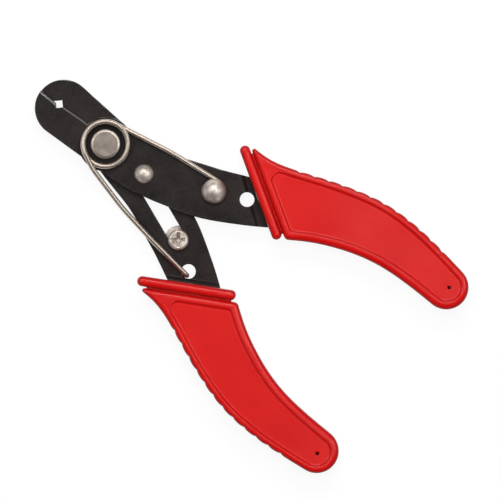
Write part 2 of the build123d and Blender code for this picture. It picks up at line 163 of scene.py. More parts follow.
def roundedCorner(first, second, radius, count):
    # Two lines that meet in a corner, each cut back by radius * tan(turn / 2), and between them the
    # cubic arc whose handles are 4/3 * tan(turn / 4) * radius long
    def unit(v):
        return v / np.linalg.norm(v)
    into, out = unit(first[-1] - first[-4]), unit(second[3] - second[0])
    turn = math.acos(np.clip(into @ out, -1, 1))
    back = radius * math.tan(turn / 2)
    first, second = cutEnd(first, back), cutEnd(second[::-1], back)[::-1]
    into, out = unit(first[-1] - first[-2]), unit(second[1] - second[0])
    handle = 4 / 3 * math.tan(turn / 4) * radius
    a, b, c, d = first[-1], first[-1] + into * handle, second[0] - out * handle, second[0]
    t = np.linspace(0, 1, count)[:, None]
    arc = (1 - t)**3 * a + 3 * (1 - t)**2 * t * b + 3 * (1 - t) * t**2 * c + t**3 * d
    return first, arc, second


def rounded(points, radii, count=24):
    # Straight runs from point to point, with each corner between them rounded by its radius
    runs = [np.linspace(a, b, 90) for a, b in zip(points[:-1], points[1:])]
    line, pieces = runs[0], []
    for run, radius in zip(runs[1:], radii):
        line, arc, run = roundedCorner(line, run, radius, count)
        pieces += [line, arc[1:-1]]
        line = run
    return np.vstack([*pieces, line])


def smoothStep(value):
    # Eases from 0 to 1 as 3 v^2 - 2 v^3, level at both ends
    value = np.clip(value, 0, 1)
    return value * value * (3 - 2 * value)


# Surfaces

def ringFaces(rows, columns, first=0):
    # Quads between neighbouring closed loops, rows going up and columns counter-clockwise
    r, c = np.meshgrid(np.arange(rows - 1), np.arange(columns), indexing="ij")
    right = (c + 1) % columns
    low, high = r * columns, (r + 1) * columns
    quads = np.stack([low + c, low + right, high + right, high + c], axis=-1)
    return (first + quads.reshape(-1, 4)).tolist()


def shell(loops, lid=True):
    # Closed skin over a stack of loops, each level as many points, with a flat lid and floor
    rows, columns = loops.shape[:2]
    faces = ringFaces(rows, columns)
    faces.append(list(range(columns - 1, -1, -1)))
    if lid:
        faces.append(list(range((rows - 1) * columns, rows * columns)))
    return loops.reshape(-1, 3), faces


def lathe(profile, columns, centre=(0.0, 0.0), reach=None):
    # A profile of radius and height turned about an upright axis. reach(angle, radius, height) may
    # change the radius, and the first and last point of the profile are on the axis
    angle = np.linspace(0, 2 * math.pi, columns, endpoint=False)
    profile = np.asarray(profile, float)
    radius, a = np.meshgrid(profile[1:-1, 0], angle, indexing="ij")
    height = np.repeat(profile[1:-1, 1][:, None], columns, axis=1)
    if reach is not None:
        radius = reach(a, radius, height)
    loops = np.stack([centre[0] + radius * np.cos(a), centre[1] + radius * np.sin(a), height], axis=-1)
    rows = len(profile) - 2
    poles = [[centre[0], centre[1], profile[0, 1]], [centre[0], centre[1], profile[-1, 1]]]
    points = np.vstack([loops.reshape(-1, 3), poles])
    low, high = rows * columns, rows * columns + 1
    c = np.arange(columns)
    right = (c + 1) % columns
    faces = ringFaces(rows, columns)
    faces += np.stack([right, c, np.full(columns, low)], axis=1).tolist()
    last = (rows - 1) * columns
    faces += np.stack([last + c, last + right, np.full(columns, high)], axis=1).tolist()
    return points, faces


def arcEdge(start, stop, centre, radius, count):
    # Points of a profile's round edge, between two angles in degrees
    return around(centre, radius, np.radians(np.linspace(start, stop, count)))


def edged(steps, radius, height):
    # Points of a profile's edge, given as steps out from a radius and up from a height
    return [(radius + outward, height + upward) for outward, upward in steps]


def tube(path, radius, columns, endRound):
    # Round wire along a path. Each frame is the last one turned by the bend between two steps,
    # and both ends are flat, with a rolled edge
    length = lengthAlong(path)
    heading = headingOf(path)
    side = np.zeros_like(path)
    side[0] = np.cross(heading[0], (0, 0, 1))
    side[0] /= np.linalg.norm(side[0])
    for k in range(1, len(path)):
        kept = side[k - 1] - heading[k] * (side[k - 1] @ heading[k])
        side[k] = kept / np.linalg.norm(kept)
    up = np.cross(side, heading)
    rolling = np.radians(np.linspace(15, 75, 5))
    endPlaces = endRound * (1 - np.cos(rolling))
    endRadii = radius - endRound * (1 - np.sin(rolling))
    middle = length[(length > endRound) & (length < length[-1] - endRound)]
    places = np.r_[endPlaces, middle, length[-1] - endPlaces[::-1]]
    radii = np.r_[endRadii, np.full(len(middle), radius), endRadii[::-1]]
    a = np.linspace(0, 2 * math.pi, columns, endpoint=False)
    ring = readAt(side, length, places)[:, None] * np.cos(a)[None, :, None]
    ring = ring + readAt(up, length, places)[:, None] * np.sin(a)[None, :, None]
    loops = readAt(path, length, places)[:, None] + ring * radii[:, None, None]
    uv = np.stack(np.broadcast_arrays(places[:, None], a[None] * radius), axis=-1)
    points, faces = shell(loops[:, ::-1])
    return points, faces, uv[:, ::-1].reshape(-1, 2)


def joined(*parts):
    # Several closed skins as one list of points and faces
    points, faces, count = [], [], 0
    for part in parts:
        points.append(part[0])
        faces += [[count + index for index in face] for face in part[1]]
        count += len(part[0])
    return np.vstack(points), faces


def makePiece(name, part, material, sharpAngle=40):
    # An object from points in millimetres, faces and, for the wire, a UV map, put into the frame
    mesh = bpy.data.meshes.new(name)
    mesh.from_pydata(((np.asarray(part[0]) + origin) * mm).tolist(), [], part[1])
    mesh.validate()
    mesh.polygons.foreach_set("use_smooth", np.ones(len(mesh.polygons), bool))
    mesh.set_sharp_from_angle(angle=math.radians(sharpAngle))
    if len(part) > 2:
        layer = mesh.uv_layers.new(name="wire")
        corner = np.zeros(len(mesh.loops), np.int32)
        mesh.loops.foreach_get("vertex_index", corner)
        layer.data.foreach_set("uv", part[2][corner].ravel().astype(np.float32))
    mesh.materials.append(material)
    piece = bpy.data.objects.new(name, mesh)
    bpy.context.scene.collection.objects.link(piece)
    return piece


# Materials

def feed(tree, socket, value):
    # Links another node's output to a socket, or sets the socket to a number, a vector or a colour
    if isinstance(value, bpy.types.NodeSocket):
        tree.links.new(value, socket)
    else:
        socket.default_value = (*value, 1) if socket.type == "RGBA" else value


def newMaterial(name, **settings):
    # A material whose shader has the given sockets set, with _ for a space in a socket's name
    material = bpy.data.materials.new(name)
    material.use_nodes = True
    tree = material.node_tree
    shader = tree.nodes["Principled BSDF"]
    for socket, value in settings.items():
        shader.inputs[socket.replace("_", " ")].default_value = value
    return material, tree, shader


def newNode(tree, kind, output, **inputs):
    # One output of a new node whose inputs are fed, with _ for a space in an input's name
    node = tree.nodes.new("ShaderNode" + kind)
    for socket, value in inputs.items():
        feed(tree, node.inputs[socket.replace("_", " ")], value)
    return node.outputs[output]


def coordinates(tree, kind):
    return newNode(tree, "TexCoord", kind)


def axesOf(tree, vector):
    node = tree.nodes.new("ShaderNodeSeparateXYZ")
    tree.links.new(vector, node.inputs[0])
    return node.outputs


def noiseOf(tree, vector, scale, detail=3.0, roughness=0.5):
    return newNode(tree, "TexNoise", "Fac", Vector=vector, Scale=scale, Detail=detail, Roughness=roughness)


def ranged(tree, factor, low, high, fromLow=0.3, fromHigh=0.7):
    # A value from fromLow to fromHigh made one from low to high, and clamped there
    return newNode(tree, "MapRange", "Result", Value=factor, From_Min=fromLow, From_Max=fromHigh,
                   To_Min=low, To_Max=high)


def colours(tree, factor, stops):
    # Colour ramp from (place, colour) pairs
    node = tree.nodes.new("ShaderNodeValToRGB")
    ramp = node.color_ramp
    while len(ramp.elements) < len(stops):
        ramp.elements.new(0.5)
    for element, (place, colour) in zip(ramp.elements, stops):
        element.position = place
        element.color = (*colour, 1)
    tree.links.new(factor, node.inputs["Fac"])
    return node.outputs["Color"]


def maths(tree, operation, *values, kind="Math", output="Value"):
    # A sum on numbers or sockets, or on vectors with the kind VectorMath
    node = tree.nodes.new("ShaderNode" + kind)
    node.operation = operation
    for socket, value in zip(node.inputs, values):
        feed(tree, socket, value)
    return node.outputs[output]


def mixed(tree, factor, first, second):
    # The first colour where the factor is 0 and the second where it is 1
    node = tree.nodes.new("ShaderNodeMix")
    node.data_type = "RGBA"
    for name, value in (("Factor", factor), ("A", first), ("B", second)):
        feed(tree, node.inputs[name], value)
    return node.outputs["Result"]


def planDistance(tree, place, x, y):
    # Distance in plan, in metres, from a point that is given in millimetres from the pivot
    centre = ((origin[0] + x) * mm, (origin[1] + y) * mm, 0)
    flat = maths(tree, "MULTIPLY", place, (1, 1, 0), kind="VectorMath", output="Vector")
    return maths(tree, "DISTANCE", flat, centre, kind="VectorMath")


def bumped(tree, shader, height, strength, distance):
    normal = newNode(tree, "Bump", "Normal", Height=height, Strength=strength, Distance=distance)
    tree.links.new(normal, shader.inputs["Normal"])


gateMark = {
    "centre": np.array([99.8, 29.6]),
    "radius": 0.5,
    "depth": 1.6,
    "floorRadius": 0.12,
    "mouth": [(0.5, 0.0), (0.3, 0.0), (0.08, 0.0), (0.02, -0.03), (0.0, -0.1), (-0.1, -1.0)],
    "ringPoints": 36,
}
gripShift = {"upper": 0.0, "lower": 0.8}  # how far each grip sits out along the tool

plasticLook = {
    "deep": (0.67, 0.0045, 0.0045),
    "bright": (0.73, 0.009, 0.007),
    "cloudScale": 70,
    "roughness": (0.18, 0.23),
    "glossScale": 160,
    # The edge colour and its amount paint shade on the rolled edges, as a darker red
    "edge": (0.40, 0.002, 0.002),
    "edgeShadeAmount": 0.5,
    "wallTilt": (0.1, 0.4),
    "flatTilt": (0.75, 0.96),
    "peelScale": 700,
    "peel": (0.05, 0.0001),
    # A dark colour in and just round each gate mark's hole: painted shade
    "paintedGateShade": (0.09, 0.004, 0.004),
    "paintedGateShadeReach": (0.42, 0.58),
}


def redPlastic():
    # Glossy moulded plastic: slow change of red, painted shade as a darker red on rolled edges, which lie
    # between the tilt of the walls and of the flats, a faint orange peel, a little uneven gloss and painted
    # shade in both grips' gate marks
    material, tree, shader = newMaterial("redPlastic", Specular_IOR_Level=0.30)
    look = plasticLook
    place = coordinates(tree, "Object")
    cloud = noiseOf(tree, place, look["cloudScale"], 2)
    red = colours(tree, cloud, [(0.3, look["deep"]), (0.7, look["bright"])])
    level = maths(tree, "ABSOLUTE", axesOf(tree, coordinates(tree, "Normal"))["Z"])
    # Painted shade: rolled edges, between the tilt of the walls and of the flats, are made a darker red
    rolled = maths(tree, "MULTIPLY", ranged(tree, level, 0, 1, *look["wallTilt"]),
                   ranged(tree, level, look["edgeShadeAmount"], 0, *look["flatTilt"]))
    red = mixed(tree, rolled, red, look["edge"])
    # Painted shade in the gate marks: the red is darkened inside each small hole, fading out past its edge
    x, y = gateMark["centre"]
    near = maths(tree, "MINIMUM", *(planDistance(tree, place, x + gripShift[side], turn * y)
                                    for side, turn in (("upper", 1), ("lower", -1))))
    inner, outer = (reach * mm for reach in look["paintedGateShadeReach"])
    tree.links.new(mixed(tree, ranged(tree, near, 1, 0, inner, outer), red, look["paintedGateShade"]),
                   shader.inputs["Base Color"])
    tree.links.new(ranged(tree, noiseOf(tree, place, look["glossScale"], 3), *look["roughness"]),
                   shader.inputs["Roughness"])
    bumped(tree, shader, noiseOf(tree, place, look["peelScale"], 1), *look["peel"])
    return material


# A tilt is how upright a face's normal is, and how far from that still counts
steelLook = {
    "black": (0.0060, 0.0038, 0.0033),
    "worn": (0.026, 0.0192, 0.0170),
    "mottle": (0.36, 0.66),
    "cloudScale": 150,
    "grainScale": 1500,
    "grainShare": 0.45,
    "grain": (0.25, 0.00003),
    "roughness": (0.38, 0.52),
    "edge": (0.24, 0.24, 0.25),
    "edgeTilt": (0.89, 0.095),
    "edgeMetal": 0.85,
    "edgePolish": -0.12,
    "patchScale": 260,
    "patches": (0.42, 0.58),
    "wearFade": (30.0, 34.0),
    "wearLeft": 0.1,
    "bevelTilt": (0.72, 0.15),
    "bevelReach": 8.0,
    "bevelHalfWidth": 2.2,
    # Jaw bevels: ground metal, lightened as a painted highlight where they face the upper handle's side
    "groundAndHighlight": (0.15, 0.14, 0.135),
    "shaded": (0.004, 0.003, 0.003),
    # A painted shadow of the coil: the plate is darkened inside these radii round the pivot
    "coilShadowRing": (6.0, 7.4),
    "coilShadow": 0.7,
}


def blackSteel():
    # Blackened sheet: mottled satin black with a fine grain, and a painted shadow of the coil.
    # Rolled edges, found by their tilt, are rubbed bright in patches, and less so near the grips.
    # On the jaws, by the cutting line, the bevel that faces the upper handle's side is ground metal,
    # lightened as a painted highlight, and the other one has painted shade
    material, tree, shader = newMaterial("blackSteel", Specular_IOR_Level=0.22)
    look = steelLook
    place = coordinates(tree, "Object")
    where, tilt = axesOf(tree, place), axesOf(tree, coordinates(tree, "Normal"))
    level = maths(tree, "ABSOLUTE", tilt["Z"])

    cloud = noiseOf(tree, place, look["cloudScale"], 5, 0.6)
    grain = noiseOf(tree, place, look["grainScale"], 3, 0.7)
    share = look["grainShare"]
    blend = maths(tree, "MULTIPLY_ADD", grain, share, maths(tree, "MULTIPLY", cloud, 1 - share))
    dark, pale = look["mottle"]
    black = colours(tree, blend, [(dark, look["black"]), (pale, look["worn"])])
    # Painted shadow of the coil, darkening the plate round the pivot
    inner, outer = (reach * mm for reach in look["coilShadowRing"])
    coilShadow = ranged(tree, planDistance(tree, place, 0, 0), look["coilShadow"], 0, inner, outer)

    patches = ranged(tree, noiseOf(tree, place, look["patchScale"], 3), 0, 1, *look["patches"])
    wearStart, wearEnd = ((origin[0] + reach) * mm for reach in look["wearFade"])
    fading = ranged(tree, where["X"], 1, look["wearLeft"], wearStart, wearEnd)
    rolled = maths(tree, "COMPARE", level, *look["edgeTilt"])
    rubbed = maths(tree, "MULTIPLY", rolled, maths(tree, "MULTIPLY", patches, fading))
    plate = mixed(tree, rubbed, mixed(tree, coilShadow, black, look["shaded"]), look["edge"])

    onJaws = maths(tree, "LESS_THAN", where["X"], (origin[0] - look["bevelReach"]) * mm)
    nearCut = maths(tree, "LESS_THAN", maths(tree, "ABSOLUTE", where["Y"]), look["bevelHalfWidth"] * mm)
    slope = maths(tree, "COMPARE", level, *look["bevelTilt"])
    bevel = maths(tree, "MULTIPLY", slope, maths(tree, "MULTIPLY", onJaws, nearCut))
    # Painted highlight and shade on the jaw bevels, by which side they face
    litAndShadedBevel = mixed(tree, maths(tree, "GREATER_THAN", tilt["Y"], 0), look["shaded"], look["groundAndHighlight"])
    tree.links.new(mixed(tree, bevel, plate, litAndShadedBevel), shader.inputs["Base Color"])
    tree.links.new(maths(tree, "MULTIPLY", rubbed, look["edgeMetal"]), shader.inputs["Metallic"])
    satin = ranged(tree, cloud, *look["roughness"])
    tree.links.new(maths(tree, "MULTIPLY_ADD", rubbed, look["edgePolish"], satin), shader.inputs["Roughness"])
    bumped(tree, shader, grain, *look["grain"])
    return material


nickelLook = {"shade": (0.42, 0.35, 0.30), "light": (0.88, 0.79, 0.71), "roughness": (0.36, 0.54),
              "metal": 0.72}
# The head's rim colour is a painted highlight on its sloping chamfer
headLook = {"shade": (0.30, 0.25, 0.215), "light": (0.44, 0.38, 0.335), "rim": (0.74, 0.655, 0.585),
            "roughness": (0.40, 0.52), "metal": 1.0}
platingGrain = {"cloudScale": 380, "mottle": (0.35, 0.65), "glossScale": 700, "pitScale": 1300,
                "pits": (0.3, 0.00005), "rimHighlightTilt": (0.93, 0.995)}


def nickel(name, look):
    # Plated metal, more or less dulled, with a soft mottle and fine pits. A look with a rim gets a painted
    # highlight, its lighter rim colour, where it slopes
    material, tree, shader = newMaterial(name, Metallic=look["metal"])
    grain = platingGrain
    place = coordinates(tree, "Object")
    dark, pale = grain["mottle"]
    cloud = noiseOf(tree, place, grain["cloudScale"], 4, 0.6)
    plate = colours(tree, cloud, [(dark, look["shade"]), (pale, look["light"])])
    if "rim" in look:
        # Painted highlight: sloping faces are made the lighter rim colour
        level = axesOf(tree, coordinates(tree, "Normal"))["Z"]
        plate = mixed(tree, ranged(tree, level, 1, 0, *grain["rimHighlightTilt"]), plate, look["rim"])
    tree.links.new(plate, shader.inputs["Base Color"])
    gloss = noiseOf(tree, place, grain["glossScale"], 3)
    tree.links.new(ranged(tree, gloss, *look["roughness"]), shader.inputs["Roughness"])
    bumped(tree, shader, noiseOf(tree, place, grain["pitScale"], 3), *grain["pits"])
    return material


wireLook = {"shade": (0.46, 0.385, 0.32), "light": (0.68, 0.59, 0.505), "roughness": (0.34, 0.46),
            "stretch": (0.12, 5, 1), "drawn": (0.1, 0.00002)}


def springWire():
    # Drawn wire: fine streaks that run along it, from the piece's own map of length and girth
    material, tree, shader = newMaterial("springWire", Metallic=1.0)
    mapNode = tree.nodes.new("ShaderNodeUVMap")
    mapNode.uv_map = "wire"
    drawn = newNode(tree, "Mapping", "Vector", Vector=mapNode.outputs["UV"], Scale=wireLook["stretch"])
    streaks = noiseOf(tree, drawn, 1.0, 3, 0.5)
    tree.links.new(colours(tree, streaks, [(0.3, wireLook["shade"]), (0.7, wireLook["light"])]),
                   shader.inputs["Base Color"])
    tree.links.new(ranged(tree, streaks, *wireLook["roughness"]), shader.inputs["Roughness"])
    bumped(tree, shader, streaks, *wireLook["drawn"])
    return material


plasticRed = redPlastic()
steelBlack = blackSteel()
nickelPlate = nickel("nickelPlate", nickelLook)
rivetFace = nickel("rivetFace", headLook)
wireMetal = springWire()
print("materials made")


# Grips: one moulding each, with a guard collar, a groove, and a body with sunk panels

# Runs and depths are along and across the collar, and insets are from the body's outline
gripHalf = topOf("upper_grip")
grip = {
    "backCurve": [(38, 25.7), (44, 27.3), (50, 29.7), (56, 32.1), (62, 34.2), (68, 35.9), (74, 36.9),
                  (80, 37.195), (86, 37.0), (92, 36.4)],
    "frontCurve": [(92, 22.95), (86, 22.65), (80.5, 21.95), (74, 20.3), (68, 18.0), (62, 15.0)],
    "endCentre": np.array([99.2, 29.2]),
    "endRadius": 6.2,
    "endFrom": 82.0,
    "endTo": -92.0,
    "collarAngle": -30.3,
    "collarDepths": (34.5, 37.35),
    "collarRuns": (14.0, 41.9),
    "collarRound": 1.36,
    "neckRuns": (16.8, 40.9),
    "neckInset": 2.9,
    "neckOverlap": (1.2, 0.9),
    "neckRound": 0.5,
    "bodyDepth": 37.75,
    "bodyBackRun": 14.04,
    "bodyFrontRun": 42.7,
    "edgeRound": 1.2,
    "tipRound": 0.6,
    "cornerRound": 1.3,
    "leastRounds": (0.12, 0.2),
    "crestStop": 1.35,
    "crestShares": (0.4, 0.4),
    "panelSlope": [(1.3, 0.0), (1.45, 0.0), (1.58, 0.012), (1.7, 0.05), (1.84, 0.14), (1.98, 0.26),
                   (2.12, 0.38), (2.26, 0.46), (2.4, 0.493), (2.55, 0.5), (2.8, 0.5)],
    "panelFoot": 2.4,
    "panelCorner": 1.45,
    "panelShares": (1.0, 0.65),
    "panelSide": 1.09,
    "frontInsets": ((0.0, 1.2, 2.4, 3.0), (0.0, 1.7, 2.75, 3.3)),
    "scallopPitch": 4.2,
    "scallopStart": 14.0,
    "scallopStop": 62.1,
    "scallopLead": 1.6,
    "scallopFade": 1.2,
    "scallopDepth": 0.34,
    "scallopPower": 2.6,
    "scallopReach": 0.85,
}


def onCollar(run, depth):
    # The collar's own axes, turned by its angle, made places in the plane
    turn = math.radians(grip["collarAngle"])
    return np.array([run * math.cos(turn) - depth * math.sin(turn),
                     run * math.sin(turn) + depth * math.cos(turn)])


def collarDepth(points):
    # How far points lie across the collar
    turn = math.radians(grip["collarAngle"])
    return -points[:, 0] * math.sin(turn) + points[:, 1] * math.cos(turn)


def crossing(line, depth):
    # Where a line that leads away from the collar crosses a depth
    depths = collarDepth(line)
    return np.array([np.interp(depth, depths, column) for column in line.T])


def onEnd(angle):
    # A point of the round end
    return around(grip["endCentre"], grip["endRadius"], np.radians([angle]))[0]


backLine = smoothThrough([onCollar(grip["bodyBackRun"], grip["bodyDepth"]), *grip["backCurve"],
                          onEnd(grip["endFrom"])], 900)
frontLine = smoothThrough([onEnd(grip["endTo"]), *grip["frontCurve"],
                           onCollar(grip["bodyFrontRun"], grip["bodyDepth"])], 500)
nearCollar = {"back": 300, "front": 200}  # points of each line that only lead away from the collar
loopPoints = {"back": 420, "end": 64, "front": 130, "frontCorner": 18, "side": 40, "tip": 18}


def bodyLoop(inset, tipRound, cornerRound):
    # The outline moved inwards: back, round end, front, collar side, with its tip and its front corner
    # rounded. The front moves in further than the back, because its edge is rounder, and the end passes
    # from one to the other. Each stretch keeps its number of points, so neighbouring loops match
    frontInset = float(np.interp(inset, *grip["frontInsets"]))
    back, front = moved(backLine, inset), moved(frontLine, frontInset)
    edge = grip["bodyDepth"] + inset * grip["panelSide"]
    start = crossing(back[:nearCollar["back"]], edge)
    stop = crossing(front[-nearCollar["front"]:][::-1], edge)
    beyond = edge + 0.01  # so that no point stands on the crossing itself
    back = np.vstack([start, back[collarDepth(back) > beyond]])
    front = np.vstack([front[collarDepth(front) > beyond], stop])
    angles = np.radians(np.linspace(grip["endFrom"], grip["endTo"], loopPoints["end"]))
    passed = smoothStep(np.linspace(0, 1, loopPoints["end"]))
    end = around(grip["endCentre"], grip["endRadius"] - inset - (frontInset - inset) * passed, angles)
    side = np.linspace(stop, start, 60)
    front, innerArc, side = roundedCorner(front, side, cornerRound, loopPoints["frontCorner"])
    side, outerArc, back = roundedCorner(side, back, tipRound, loopPoints["tip"])
    return np.vstack([evenly(back, loopPoints["back"]), end[1:-1], evenly(front, loopPoints["front"]),
                      innerArc[1:-1], evenly(side, loopPoints["side"]), outerArc[1:-1]])


def scallops(loop, inset):
    # Round waves between narrow valleys along the back: with u from -1 to 1 across one wave, the cut is
    # depth * |u|^power. It fades out over the rolled edge and at both ends of the row
    back = loop[:loopPoints["back"]]
    length = lengthAlong(back)
    past, left = length - grip["scallopStart"], grip["scallopStop"] - length
    wave = np.mod(past / grip["scallopPitch"], 1)
    valley = np.abs(2 * wave - 1) ** grip["scallopPower"]
    fade = grip["scallopFade"]
    row = smoothStep((past + grip["scallopLead"]) / fade) * smoothStep(left / fade)
    amount = grip["scallopDepth"] * valley * row * smoothStep(1 - inset / grip["scallopReach"])
    shift = np.zeros_like(loop)
    shift[:len(back)] = amount[:, None] * toRight(back)
    return loop + shift


def rimProfile():
    # Inset, depth below the broad face and the radii of the two corners, from the wall over the rim into
    # the panel: a quarter round, then the slope of the panel's soft edge. The corners shrink over the
    # round, and past the crest they are shares of a radius that is the panel's own at the slope's foot
    edge = grip["edgeRound"]
    leastTip, leastCorner = grip["leastRounds"]
    rim = []
    for q in np.radians(np.linspace(0, 90, 9)):
        inset = edge * (1 - math.cos(q))
        rounds = (max(grip["tipRound"] - inset, leastTip), max(grip["cornerRound"] - inset, leastCorner))
        rim.append((inset, edge * (1 - math.sin(q)), rounds))
    for inset, drop in grip["panelSlope"]:
        grown = grip["panelCorner"] + grip["panelFoot"] - inset
        shares = grip["crestShares"] if inset < grip["crestStop"] else grip["panelShares"]
        rim.append((inset, drop, [share * grown for share in shares]))
    return rim


def gateLid(outline, first):
    # The panel's floor inside its last loop, in triangles that are turned to face up, and the gate mark,
    # a small blind hole with a soft mouth, as rings that go down from it
    count, lidHeight = gateMark["ringPoints"], outline[0, 2]
    steps = edged(gateMark["mouth"], gateMark["radius"], 0.0)
    steps.append((gateMark["floorRadius"], -gateMark["depth"]))
    a = np.linspace(0, 2 * math.pi, count, endpoint=False)
    rings = np.array([atHeight(around(gateMark["centre"], radius, a), lidHeight + z) for radius, z in steps])
    corners = np.vstack([outline, rings[0]])
    triangles = np.array(tessellate_polygon([outline.tolist(), rings[0].tolist()]))
    one, two, three = (corners[triangles[:, k], :2] for k in range(3))
    turned = np.cross(two - one, three - one) < 0
    triangles[turned] = triangles[turned][:, ::-1]
    faces = (first - len(outline) + triangles).tolist()
    faces += ringFaces(len(rings), count, first)
    last = first + count * (len(rings) - 1)
    faces.append(list(range(last, last + count)))
    return rings.reshape(-1, 3), faces


def gripBody():
    # Loops stacked from the rear panel, over the rear rim, the wall and the front rim, into the front panel
    wallTop = gripHalf - grip["edgeRound"]
    rounds = (grip["tipRound"], grip["cornerRound"])
    upperHalf = [(0.0, height, rounds) for height in np.linspace(0.0, wallTop, 5)[:-1]]
    upperHalf += [(inset, gripHalf - drop, rounds) for inset, drop, rounds in rimProfile()]
    levels = [(inset, -height, rounds) for inset, height, rounds in upperHalf[:0:-1]] + upperHalf
    loops = []
    for inset, height, rounds in levels:
        loop = bodyLoop(inset, *rounds)
        if inset < grip["edgeRound"]:
            loop = scallops(loop, inset)
        loops.append(atHeight(loop, height))
    loops = np.array(loops)[:, ::-1]
    points, faces = shell(loops, lid=False)
    lidPoints, lidFaces = gateLid(loops[-1], len(points))
    return np.vstack([points, lidPoints]), faces + lidFaces


def roundedBar(runs, depths, half, radius, cornerCount=10):
    # Bar across the grip: a rounded rectangle in plan, its broad edges rolled by the same radius
    nearRun, farRun = runs[0] + radius, runs[1] - radius
    nearDepth, farDepth = depths[0] + radius, depths[1] - radius
    centres = [(nearRun, nearDepth), (farRun, nearDepth), (farRun, farDepth), (nearRun, farDepth)]
    hair = 0.999  # keeps the bar a hair inside its size
    quarter = np.radians(np.linspace(0, 90, cornerCount))
    levels = [(radius * (1 - math.sin(q)), -half + radius * (1 - math.cos(q))) for q in quarter]
    levels += [(inset, -height) for inset, height in levels[::-1]]
    loops = []
    for inset, height in levels:
        arcs = [around(centre, (radius - inset) * hair, quarter + math.radians(180 + 90 * k))
                for k, centre in enumerate(centres)]
        loops.append(atHeight(onCollar(*np.vstack(arcs).T).T, height))
    return shell(np.array(loops))


def gripMoulding(side):
    # Collar, body and the neck that joins them, shifted for the side; the lower grip is the mirror image
    collar = roundedBar(grip["collarRuns"], grip["collarDepths"], gripHalf, grip["collarRound"])
    intoCollar, intoBody = grip["neckOverlap"]
    neckDepths = (grip["collarDepths"][1] - intoCollar, grip["bodyDepth"] + intoBody)
    neck = roundedBar(grip["neckRuns"], neckDepths, gripHalf - grip["neckInset"], grip["neckRound"])
    points, faces = joined(gripBody(), collar, neck)
    points[:, 0] += gripShift[side]
    if side == "lower":
        points[:, 1] *= -1
        faces = [face[::-1] for face in faces]
    return points, faces


for side, body in (("upper", "front_lever_body"), ("lower", "back_lever_body")):
    piece = makePiece(side + "GripMoulding", gripMoulding(side), plasticRed)
    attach(piece, body)
    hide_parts(side + "_grip")
print("grips made")


# Levers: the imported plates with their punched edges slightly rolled

leverEdge = {"width": 0.18, "segments": 3, "angle": 28.0, "mergeWithin": 0.002, "flatWithin": 0.4}


def rolledPlate(node, name, body):
    # A merged copy of the plate, its flat faces made whole, with a narrow round along every sharp edge
    mesh = frame["nodes"][node].data.copy()
    plate = bmesh.new()
    plate.from_mesh(mesh)
    bmesh.ops.remove_doubles(plate, verts=plate.verts, dist=leverEdge["mergeWithin"] * mm)
    bmesh.ops.dissolve_limit(plate, angle_limit=math.radians(leverEdge["flatWithin"]),
                             verts=plate.verts, edges=plate.edges)
    plate.to_mesh(mesh)
    plate.free()
    mesh.materials.clear()
    mesh.materials.append(steelBlack)
    mesh.polygons.foreach_set("use_smooth", np.ones(len(mesh.polygons), bool))
    mesh.set_sharp_from_angle(angle=math.radians(leverEdge["angle"]))
    piece = bpy.data.objects.new(name, mesh)
    bpy.context.scene.collection.objects.link(piece)
    bevel = piece.modifiers.new("rolledEdge", "BEVEL")
    bevel.width = leverEdge["width"] * mm
    bevel.segments = leverEdge["segments"]
    bevel.limit_method = "ANGLE"
    bevel.angle_limit = math.radians(leverEdge["angle"])
    bevel.use_clamp_overlap = False
    bevel.harden_normals = True
    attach(piece, body)
    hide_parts(node)


rolledPlate("front_lever", "frontLeverPlate", "front_lever_body")
rolledPlate("back_lever", "backLeverPlate", "back_lever_body")
print("levers made")


# Rivets, screw, washer and nut

# Edges are lists of steps out from a radius and up from a height
faceGap = 0.01  # between a small part's face and the one that it sits on
pivotRivet = {
    "seatGap": 0.02,
    "headRadius": 4.1,
    "headSoft": 0.1,
    "shoulder": [(0.0, -0.14), (-0.04, -0.04), (-0.12, 0.02)],
    "chamfer": 0.26,
    "flatRadius": 3.35,
    "flatRound": 0.5,
    "flatRings": (3.05, 2.0, 1.0, 0.4, 0),
    "shankRadius": 2.5,
    "tailRadius": 3.6,
    "tailSoft": 0.08,
    "tailRing": 1.5,
    "tailEdge": [(-0.65, 0.01), (-0.35, 0.12), (-0.08, 0.42), (0.0, 0.62)],
}
dome = {"lip": 0.12, "lipSoft": (0.06, 0.05), "rows": 28}
stopPin = {
    "centre": (13.6, 0.35),
    "radius": 2.65,
    "shankRadius": 1.1,
    "tailRadius": 2.8,
    "tailHeight": 0.88,
    "tailRing": 1.2,
    "tailEdge": [(-0.25, 0.01), (-0.07, 0.08), (0.0, 0.25)],
    "tailTopEdge": [(0.0, -0.13), (-0.12, 0.0)],
}
springRivet = {
    "centre": (31.8, 9.0),
    "radius": 3.35,
    "domeHeight": 2.3,
    "neckRadius": 2.15,
    "shankRadius": 1.6,
    "tailRadius": 2.4,
    "tailRing": 1.0,
    "tailEdge": [(-0.25, 0.01), (-0.07, 0.08), (0.0, 0.22)],
}


def domeProfile(radius, base, top):
    # Ball cap over a short upright lip, from its edge to its top on the axis. The ball's radius is
    # (r^2 + h^2) / 2h for a cap of radius r and height h
    lip = dome["lip"]
    inward, upward = dome["lipSoft"]
    height = top - base - lip
    ball = (radius**2 + height**2) / (2 * height)
    tilt = np.linspace(math.asin(radius / ball), 0, dome["rows"])[1:]
    return np.vstack([[[radius - inward, base], [radius, base + upward], [radius, base + lip]],
                      np.stack([ball * np.sin(tilt), top - ball + ball * np.cos(tilt)], axis=1)])


